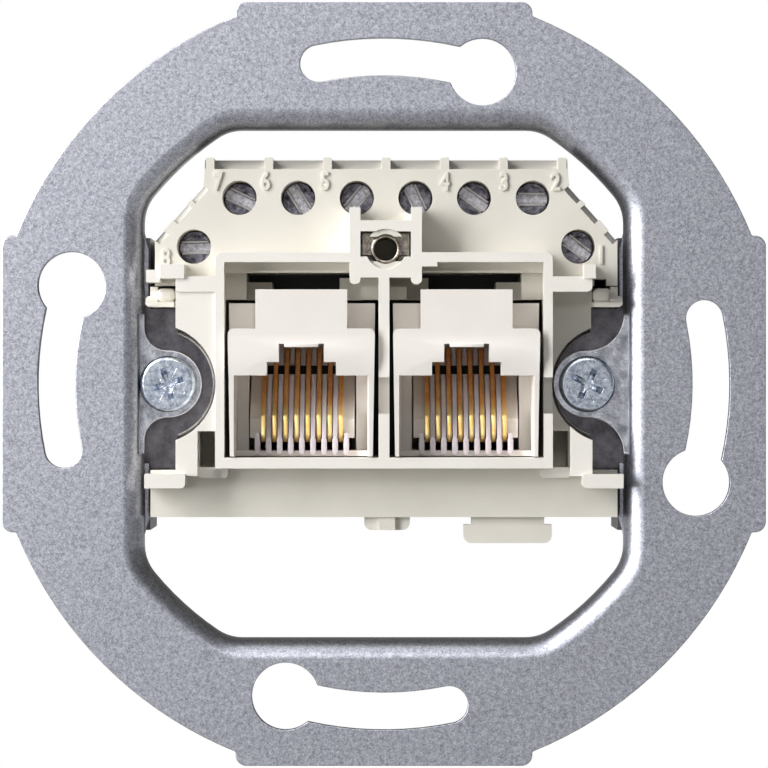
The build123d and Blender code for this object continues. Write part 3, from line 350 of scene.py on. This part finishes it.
# %% [markdown]
# ### Comb and board
# The ribs between the contact wires are a greyish, slightly pink engineering plastic. The board
# behind is glass laminate under dark lacquer, seen only through the gaps, and its green is painted
# near black as the shade it lies in.

# %% Comb plastic and board lacquer
comb_plastic = moulded_abs("moulded_comb_plastic", "D3C8CC", "E5DCE2", 0.35)
# Partly painted shade: the board's dark green lacquer is taken down to nearly black.
board_lacquer_and_shade = moulded_abs("board_lacquer_painted_shade", "10160F", "182018", 0.45)

# %% [markdown]
# ## Mouldings and pressings
# The measured solids have sharp edges, and no moulded or blanked edge is sharp. Each piece that the
# eye meets is copied, its loose triangles are merged into whole faces, and every hard edge gets a
# small round. The long flat faces then keep their flat shading, and only the rounds catch light.


# %% Soften a measured piece
SHARP = math.radians(30)


def edit(piece, mode="EDGE"):
    """Opens one piece alone in edit mode with nothing selected."""
    if bpy.context.object and bpy.context.object.mode != "OBJECT":
        bpy.ops.object.mode_set(mode="OBJECT")
    bpy.ops.object.select_all(action="DESELECT")
    piece.select_set(True)
    bpy.context.view_layer.objects.active = piece
    bpy.ops.object.mode_set(mode="EDIT")
    bpy.ops.mesh.select_mode(type=mode)
    bpy.ops.mesh.select_all(action="DESELECT")


def finish_shading(piece):
    """Smooth rounds beside flat faces, weighted by the faces' size."""
    bpy.ops.object.mode_set(mode="OBJECT")
    bpy.ops.object.shade_smooth_by_angle(angle=SHARP)
    weigh = piece.modifiers.new("flat_faces_stay_flat", "WEIGHTED_NORMAL")
    weigh.keep_sharp = True
    bpy.ops.object.modifier_apply(modifier=weigh.name)


def softened(node_name, piece_name, finish, round_mm, steps=2):
    """A copy of a measured node with merged faces and rounded edges, which then takes its place."""
    node = bpy.data.objects[node_name]
    piece = node.copy()
    piece.data = node.data.copy()
    piece.name = piece_name
    scene.collection.objects.link(piece)
    edit(piece)
    bpy.ops.mesh.select_all(action="SELECT")
    bpy.ops.mesh.remove_doubles(threshold=0.001 * MM)
    bpy.ops.mesh.select_all(action="SELECT")
    bpy.ops.mesh.dissolve_limited(angle_limit=math.radians(0.5))
    bpy.ops.mesh.select_all(action="DESELECT")
    bpy.ops.mesh.edges_select_sharp(sharpness=SHARP)
    bpy.ops.mesh.bevel(offset=round_mm * MM, segments=steps, clamp_overlap=True)
    finish_shading(piece)
    piece.data.materials.clear()
    piece.data.materials.append(finish)
    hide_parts(node_name)
    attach(piece, BODY)
    return piece


# %% Soften the pieces in view
pieces = [
    softened("support_ring", "pressed_ring", galvanised, 0.10),
    softened("jack_frame", "front_frame_moulding", front_abs, 0.14),
    softened("base_housing", "body_moulding", body_abs, 0.14),
    softened("terminal_cover", "terminal_cover_moulding", body_abs, 0.12),
    softened("rear_cover", "rear_cover_moulding", body_abs, 0.20),
    softened("centre_sleeve", "turned_sleeve", nickel_brass, 0.08),
    softened("clamp_plate_left", "left_clamp_plate", steel_painted_shade, 0.06),
    softened("clamp_plate_right", "right_clamp_plate", steel_painted_shade, 0.06),
]
for side in ("left", "right"):
    pieces.append(softened(f"jack_shell_{side}", f"{side}_jack_moulding", jack_abs, 0.12))
    pieces.append(softened(f"contact_comb_{side}", f"{side}_comb_moulding", comb_plastic, 0.07))
    for pole in range(1, 9):
        pieces.append(softened(f"contact_{side}_{pole}", f"{side}_wire_{pole}", gold_with_painted_highlight, 0.06))
print("softened", len(pieces), "pieces,", sum(len(p.data.polygons) for p in pieces), "faces")

# %% [markdown]
# ## Painted highlights and painted shade
# The tongue fronts under the screws get a smoother zinc that is painted lighter as their highlight,
# and the cut edges of the tongues and of the clamp plates are painted near white as highlights.
# The cheeks beside each comb are plain jack plastic, and the sleeve's ears are painted in the dark
# screw plating as the shade of their slot. A rule on place and forward tilt picks these faces.

# %% Give single faces another finish
EDGE_BAND = 0.35
SIDE_TILT = 0.15
FLAT_TILT = 0.97
TONGUE_FRONT = 1.8
PLATE_FRONT = 3.0
TONGUE_ROOT_X = 22.2
TONGUE_ROOT_Z = 6.6
COMB_SIDE_X = 3.9
COMB_NOSE_BACK = -0.4
JACK_X = 7.52
SLEEVE_X = 0.16
SLEEVE_Z = 12.3
SLEEVE_R = 1.32


def refinish(piece, finish, chosen):
    """Gives another finish to the faces that a rule on place in mm and forward tilt picks."""
    piece.data.materials.append(finish)
    slot = len(piece.data.materials) - 1
    for face in piece.data.polygons:
        if chosen(face.center / MM, -face.normal.y):
            face.material_index = slot


def on_tongue(spot, tilt):
    """Whether a face belongs to the front of a tongue."""
    inside = abs(spot.x) < TONGUE_ROOT_X and abs(spot.z) < TONGUE_ROOT_Z
    return inside and abs(spot.y - TONGUE_FRONT) < EDGE_BAND and tilt > SIDE_TILT


def on_plate_edge(spot, tilt):
    """Whether a face is a round at the front edge of a clamp plate."""
    return spot.y < PLATE_FRONT + EDGE_BAND and SIDE_TILT < tilt < FLAT_TILT


ring = bpy.data.objects["pressed_ring"]
# Painted highlights: lighter zinc on the tongue fronts, near-white finish on their rounded edges.
refinish(ring, tongue_painted_highlight, on_tongue)
refinish(ring, edge_painted_highlight, lambda spot, tilt: on_tongue(spot, tilt) and tilt < FLAT_TILT)
# Painted highlight on the clamp plates' front edges; the comb cheeks get plain jack plastic.
for side, x in (("left", -JACK_X), ("right", JACK_X)):
    refinish(bpy.data.objects[f"{side}_clamp_plate"], edge_painted_highlight, on_plate_edge)
    refinish(bpy.data.objects[f"{side}_comb_moulding"], jack_abs,
             lambda spot, tilt: abs(spot.x - x) > COMB_SIDE_X and spot.y > COMB_NOSE_BACK)
# Painted shade: the sleeve's ears, which sit in the slot, get the dark screw plating.
refinish(bpy.data.objects["turned_sleeve"], terminal_plate,
         lambda spot, tilt: abs(spot.x - SLEEVE_X) > SLEEVE_R)
print("painted edge and tongue highlights, comb cheeks, painted ear shade")

# %% [markdown]
# ## Terminal screws
# Eight slotted screws stand in deep wells, each turned its own way. One is modelled: a cylinder, a
# slot cut right across by a box, a low burr along each side of the slot, and a fine round on every
# edge. The burrs' fronts are painted near white as a highlight, and the slot's floor is painted
# lighter as painted light. The screw is then copied to its eight places and turned there.

# %% Model one terminal screw
WELL_X0 = 0.2
WELL_PITCH = 5.38
WELL_Z = 17.07
LOW_WELL_X = 17.62
LOW_WELL_Z = 12.6
HEAD_R = 1.475
HEAD_FRONT = 2.7
HEAD_H = 1.5
SHANK_R = 1.2
SHANK_END = 6.7
SLOT_W = 0.85
SLOT_DEPTH = 0.8
BURR_W = 0.19
BURR_H = 0.08
BURR_ROOT = 0.3
BURR_LENGTH = 2.5
SLOT_TURNS = (-25, -58, 50, -65, -35, 0, 2, -37)


def along_y(radius, front, back, sides=48):
    """A cylinder primitive that lies along Y between two depths, in millimetres."""
    bpy.ops.object.select_all(action="DESELECT")
    bpy.ops.mesh.primitive_cylinder_add(
        vertices=sides, radius=radius * MM, depth=(back - front) * MM,
        location=(0, (front + back) / 2 * MM, 0), rotation=(math.radians(90), 0, 0))
    bpy.ops.object.transform_apply(location=True, rotation=True, scale=True)
    return bpy.context.object


def box(width, front, back, height, x=0.0, z=0.0, turn=0.0):
    """A box primitive by its width, depths and height in millimetres, turned about Y."""
    bpy.ops.object.select_all(action="DESELECT")
    bpy.ops.mesh.primitive_cube_add(size=1)
    block = bpy.context.object
    block.scale = (width * MM, (back - front) * MM, height * MM)
    bpy.ops.object.transform_apply(location=False, rotation=False, scale=True)
    spin = Matrix.Rotation(math.radians(-turn), 4, "Y")
    shift = Matrix.Translation((x * MM, (front + back) / 2 * MM, z * MM))
    block.data.transform(spin @ shift)
    return block


def combine(piece, tool, operation):
    """Cuts or joins one piece with a tool piece, and takes the tool away."""
    bpy.ops.object.select_all(action="DESELECT")
    bpy.context.view_layer.objects.active = piece
    piece.select_set(True)
    step = piece.modifiers.new(operation.lower(), "BOOLEAN")
    step.operation = operation
    step.object = tool
    step.solver = "EXACT"
    bpy.ops.object.modifier_apply(modifier=step.name)
    bpy.data.objects.remove(tool)
    finish_shading(piece)


def round_edges(piece, round_mm, steps=2, sharpness=SHARP):
    """Merges flat faces and rounds every hard edge of a modelled piece."""
    edit(piece)
    bpy.ops.mesh.select_all(action="SELECT")
    bpy.ops.mesh.remove_doubles(threshold=0.002 * MM)
    bpy.ops.mesh.select_all(action="SELECT")
    bpy.ops.mesh.dissolve_limited(angle_limit=math.radians(0.5))
    bpy.ops.mesh.select_all(action="DESELECT")
    bpy.ops.mesh.edges_select_sharp(sharpness=sharpness)
    bpy.ops.mesh.bevel(offset=round_mm * MM, segments=steps, clamp_overlap=True)
    finish_shading(piece)


screw = along_y(HEAD_R, HEAD_FRONT, HEAD_FRONT + HEAD_H)
screw.name = "terminal_screw_1"
combine(screw, along_y(SHANK_R, HEAD_FRONT + HEAD_H / 2, SHANK_END, 32), "UNION")
combine(screw, box(4 * HEAD_R, HEAD_FRONT - 1, HEAD_FRONT + SLOT_DEPTH, SLOT_W), "DIFFERENCE")
for z in (-(SLOT_W + BURR_W) / 2, (SLOT_W + BURR_W) / 2):
    burr = box(BURR_LENGTH, HEAD_FRONT - BURR_H, HEAD_FRONT + BURR_ROOT, BURR_W, z=z)
    combine(screw, burr, "UNION")
round_edges(screw, 0.13)
screw.data.materials.append(terminal_plate)
# Painted highlight: the burrs' fronts get the near-white edge finish.
refinish(screw, edge_painted_highlight, lambda spot, tilt: spot.y < HEAD_FRONT - 0.3 * BURR_H)
# Painted light: the slot's floor gets the lighter finish.
refinish(screw, slot_floor_painted_light,
         lambda spot, tilt: spot.y > HEAD_FRONT + EDGE_BAND and tilt > SIDE_TILT)
print("one terminal screw:", len(screw.data.polygons), "faces")


# %% Set out the eight terminal screws
def placed_copy(source, name, x, z, turn):
    """A copy with its own mesh, turned about Y and moved, both in its mesh."""
    copy = source.copy()
    copy.data = source.data.copy()
    copy.name = name
    scene.collection.objects.link(copy)
    turned = Matrix.Rotation(math.radians(-turn), 4, "Y")
    copy.data.transform(Matrix.Translation((x * MM, 0, z * MM)) @ turned)
    return copy


wells = [(WELL_X0 + (number - 2.5) * WELL_PITCH, WELL_Z) for number in range(6)]
wells += [(WELL_X0 - LOW_WELL_X, LOW_WELL_Z), (WELL_X0 + LOW_WELL_X, LOW_WELL_Z)]
for number, ((x, z), turn) in enumerate(zip(wells, SLOT_TURNS), start=1):
    copy = placed_copy(screw, f"slotted_terminal_screw_{number}", x, z, turn)
    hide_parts("terminal_screws")
    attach(copy, BODY)
bpy.data.objects.remove(screw)
print("eight terminal screws")

# %% [markdown]
# ## Fixing screws
# Two pan-head screws with a cross recess and fine lines between its arms hold the body to the ring.
# The head is a cylinder with its rim rounded over. Two tapered bars crossing at right angles cut
# the recess, a turned pit deepens its middle, and four thin bars mark the lines.

# %% Model one fixing screw
FIX_HEAD_R = 2.6
FIX_HEAD_FRONT = 0.1
FIX_SEAT = 1.8
FIX_SHANK_R = 1.45
FIX_END = 9.8
FIX_CROWN = 0.42
RECESS_ARM = 3.3
RECESS_W = 0.62
RECESS_DEPTH = 1.0
RECESS_DRAW = (0.55, 1, 0.45)
PIT_R = 0.62
PIT_DEPTH = 0.7
CLEAR = 0.2
TICK_W = 0.16
TICK_DEPTH = 0.16
TICK_FROM = 0.75
TICK_TO = 1.75


def tapered_bar(length, width, front, back, turn):
    """A box whose inner end face is drawn in, as a punch is."""
    bar = box(length, front, back, width)
    edit(bar, "FACE")
    bar_mesh = bmesh.from_edit_mesh(bar.data)
    for face in bar_mesh.faces:
        face.select_set(face.normal.y > 0.9)
    bmesh.update_edit_mesh(bar.data)
    bpy.ops.transform.resize(value=RECESS_DRAW)
    bpy.ops.object.mode_set(mode="OBJECT")
    bar.data.transform(Matrix.Rotation(math.radians(-turn), 4, "Y"))
    return bar


fixing = along_y(FIX_HEAD_R, FIX_HEAD_FRONT, FIX_SEAT, 64)
edit(fixing, "EDGE")
rim = bmesh.from_edit_mesh(fixing.data)
for edge in rim.edges:
    edge.select_set(all(vert.co.y < (FIX_HEAD_FRONT + 0.01) * MM for vert in edge.verts))
bmesh.update_edit_mesh(fixing.data)
bpy.ops.mesh.bevel(offset=FIX_CROWN * MM, segments=5)
bpy.ops.object.mode_set(mode="OBJECT")
combine(fixing, along_y(FIX_SHANK_R, FIX_SEAT - 0.5, FIX_END, 32), "UNION")
above = FIX_HEAD_FRONT - CLEAR
for turn in (0, 90):
    punch = tapered_bar(RECESS_ARM, RECESS_W, above, FIX_HEAD_FRONT + RECESS_DEPTH, turn)
    combine(fixing, punch, "DIFFERENCE")
combine(fixing, along_y(PIT_R, above, FIX_HEAD_FRONT + PIT_DEPTH, 12), "DIFFERENCE")
for turn in (45, 135, 225, 315):
    tick = box(TICK_TO - TICK_FROM, above, FIX_HEAD_FRONT + TICK_DEPTH, TICK_W,
               x=(TICK_FROM + TICK_TO) / 2, turn=turn)
    combine(fixing, tick, "DIFFERENCE")
round_edges(fixing, 0.05)
fixing.data.materials.append(zinc_plate)
print("one fixing screw:", len(fixing.data.polygons), "faces")

# %% Set out the two fixing screws
for name, x, turn in (("left_fixing_screw", -19.9, 17), ("right_fixing_screw", 18.7, -28)):
    copy = placed_copy(fixing, name, x, 0, turn)
    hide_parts("fixing_screws")
    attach(copy, BODY)
bpy.data.objects.remove(fixing)
print("two fixing screws")

# %% [markdown]
# ## Combs and hooks
# The cross gap of each comb runs through between its two cheeks and through the jack's rear wall to
# the dark board, so it looks black. The hollow in each hook has a plump saddle in it, which is a
# block with its edges well rounded. Plastic closes in round the sleeve above and below its ears,
# and the front face of this collar is painted in the darker body plastic as shade.

# %% Open the cross gaps, fill the hooks and close in the sleeve
GAP_HALF_W = 4.2
GAP_Z = 1.325
GAP_H = 0.8
GAP_FROM = 7.0
GAP_TO = 11.5
SADDLE_X = 19.95
SADDLE_W = 1.66
SADDLE_Z = 8.1
SADDLE_H = 1.3
SADDLE_FRONT = -1.9
SADDLE_BACK = 3.1
COLLAR_R = 1.88
COLLAR_FRONT = -4.0
COLLAR_BACK = -1.7
COLLAR_GAP = 0.04
COLLAR_FACE = 0.1
EAR_SLOT_H = 2.26
for side, sign in (("left", -1), ("right", 1)):
    for piece in (f"{side}_comb_moulding", f"{side}_jack_moulding"):
        gap = box(2 * GAP_HALF_W, GAP_FROM, GAP_TO, GAP_H, x=sign * JACK_X, z=GAP_Z)
        combine(bpy.data.objects[piece], gap, "DIFFERENCE")
    saddle = box(SADDLE_W, SADDLE_FRONT, SADDLE_BACK, SADDLE_H, x=sign * SADDLE_X, z=SADDLE_Z)
    round_edges(saddle, 0.45, 4)
    saddle.data.materials.append(body_abs)
    combine(bpy.data.objects["body_moulding"], saddle, "UNION")
collar = along_y(COLLAR_R, COLLAR_FRONT, COLLAR_BACK)
bore = along_y(SLEEVE_R + COLLAR_GAP, COLLAR_FRONT - 1, COLLAR_BACK + 1)
combine(collar, bore, "DIFFERENCE")
ear_slot = box(4 * COLLAR_R, COLLAR_FRONT - 1, COLLAR_BACK + 1, EAR_SLOT_H)
combine(collar, ear_slot, "DIFFERENCE")
collar.data.transform(Matrix.Translation((SLEEVE_X * MM, 0, SLEEVE_Z * MM)))
collar.data.materials.append(front_abs)
front_frame = bpy.data.objects["front_frame_moulding"]
combine(front_frame, collar, "UNION")
# Painted shade: the collar's front face gets the darker body plastic beside the sleeve.
refinish(front_frame, body_abs,
         lambda spot, tilt: abs(spot.y - COLLAR_FRONT) < COLLAR_FACE
         and math.hypot(spot.x - SLEEVE_X, spot.z - SLEEVE_Z) < COLLAR_R)
print("cross gaps opened, saddles and sleeve collar added")

# %% [markdown]
# ## Pole numbers
# The terminal cover has its pole numbers raised beside the wells, in narrow upright figures. Text
# is typed at its size, given a little thickness, made a mesh, and only then put in its place.

# %% Raise the pole numbers
FIGURE_H = 2.25
FIGURE_NARROW = 0.75
FIGURE_PROUD = 0.15
FIGURE_WEIGHT = 0.04
COVER_FRONT = -1.0
FIGURES = (("7", -15.22, 18.5), ("6", -10.85, 18.5), ("5", -5.4, 18.5), ("4", 5.6, 18.45),
           ("3", 11.0, 18.45), ("2", 15.75, 18.45), ("8", -20.0, 11.5), ("1", 19.9, 11.75))
for figure, x, z in FIGURES:
    bpy.ops.object.select_all(action="DESELECT")
    bpy.ops.object.text_add(location=(0, 0, 0))
    text = bpy.context.object
    text.data.body = figure
    text.data.align_x = "CENTER"
    text.data.align_y = "CENTER"
    text.data.size = FIGURE_H * MM
    text.data.extrude = FIGURE_PROUD * MM
    text.data.bevel_depth = 0.03 * MM
    text.data.offset = FIGURE_WEIGHT * MM
    bpy.ops.object.convert(target="MESH")
    numeral = bpy.context.object
    numeral.name = f"pole_number_{figure}"
    upright = Matrix.Rotation(math.radians(90), 4, "X")
    place = Matrix.Translation((x * MM, COVER_FRONT * MM, z * MM))
    numeral.data.transform(place @ upright @ Matrix.Diagonal((FIGURE_NARROW, 1, 1, 1)))
    numeral.data.materials.append(body_abs)
    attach(numeral, BODY)
print(len(FIGURES), "raised figures")

# %% [markdown]
# ## Pieces that stay as measured
# The circuit board and the terminal clamps lie behind the mouldings. They keep their measured form
# and only get their finish.

# %% Dress what is left
inner_finish = {"circuit_board": board_lacquer_and_shade, "terminal_clamp": terminal_plate}
for name in node_names:
    for start, finish in inner_finish.items():
        if name.startswith(start):
            node = bpy.data.objects[name]
            node.data.materials.clear()
            node.data.materials.append(finish)
print("inner pieces dressed")
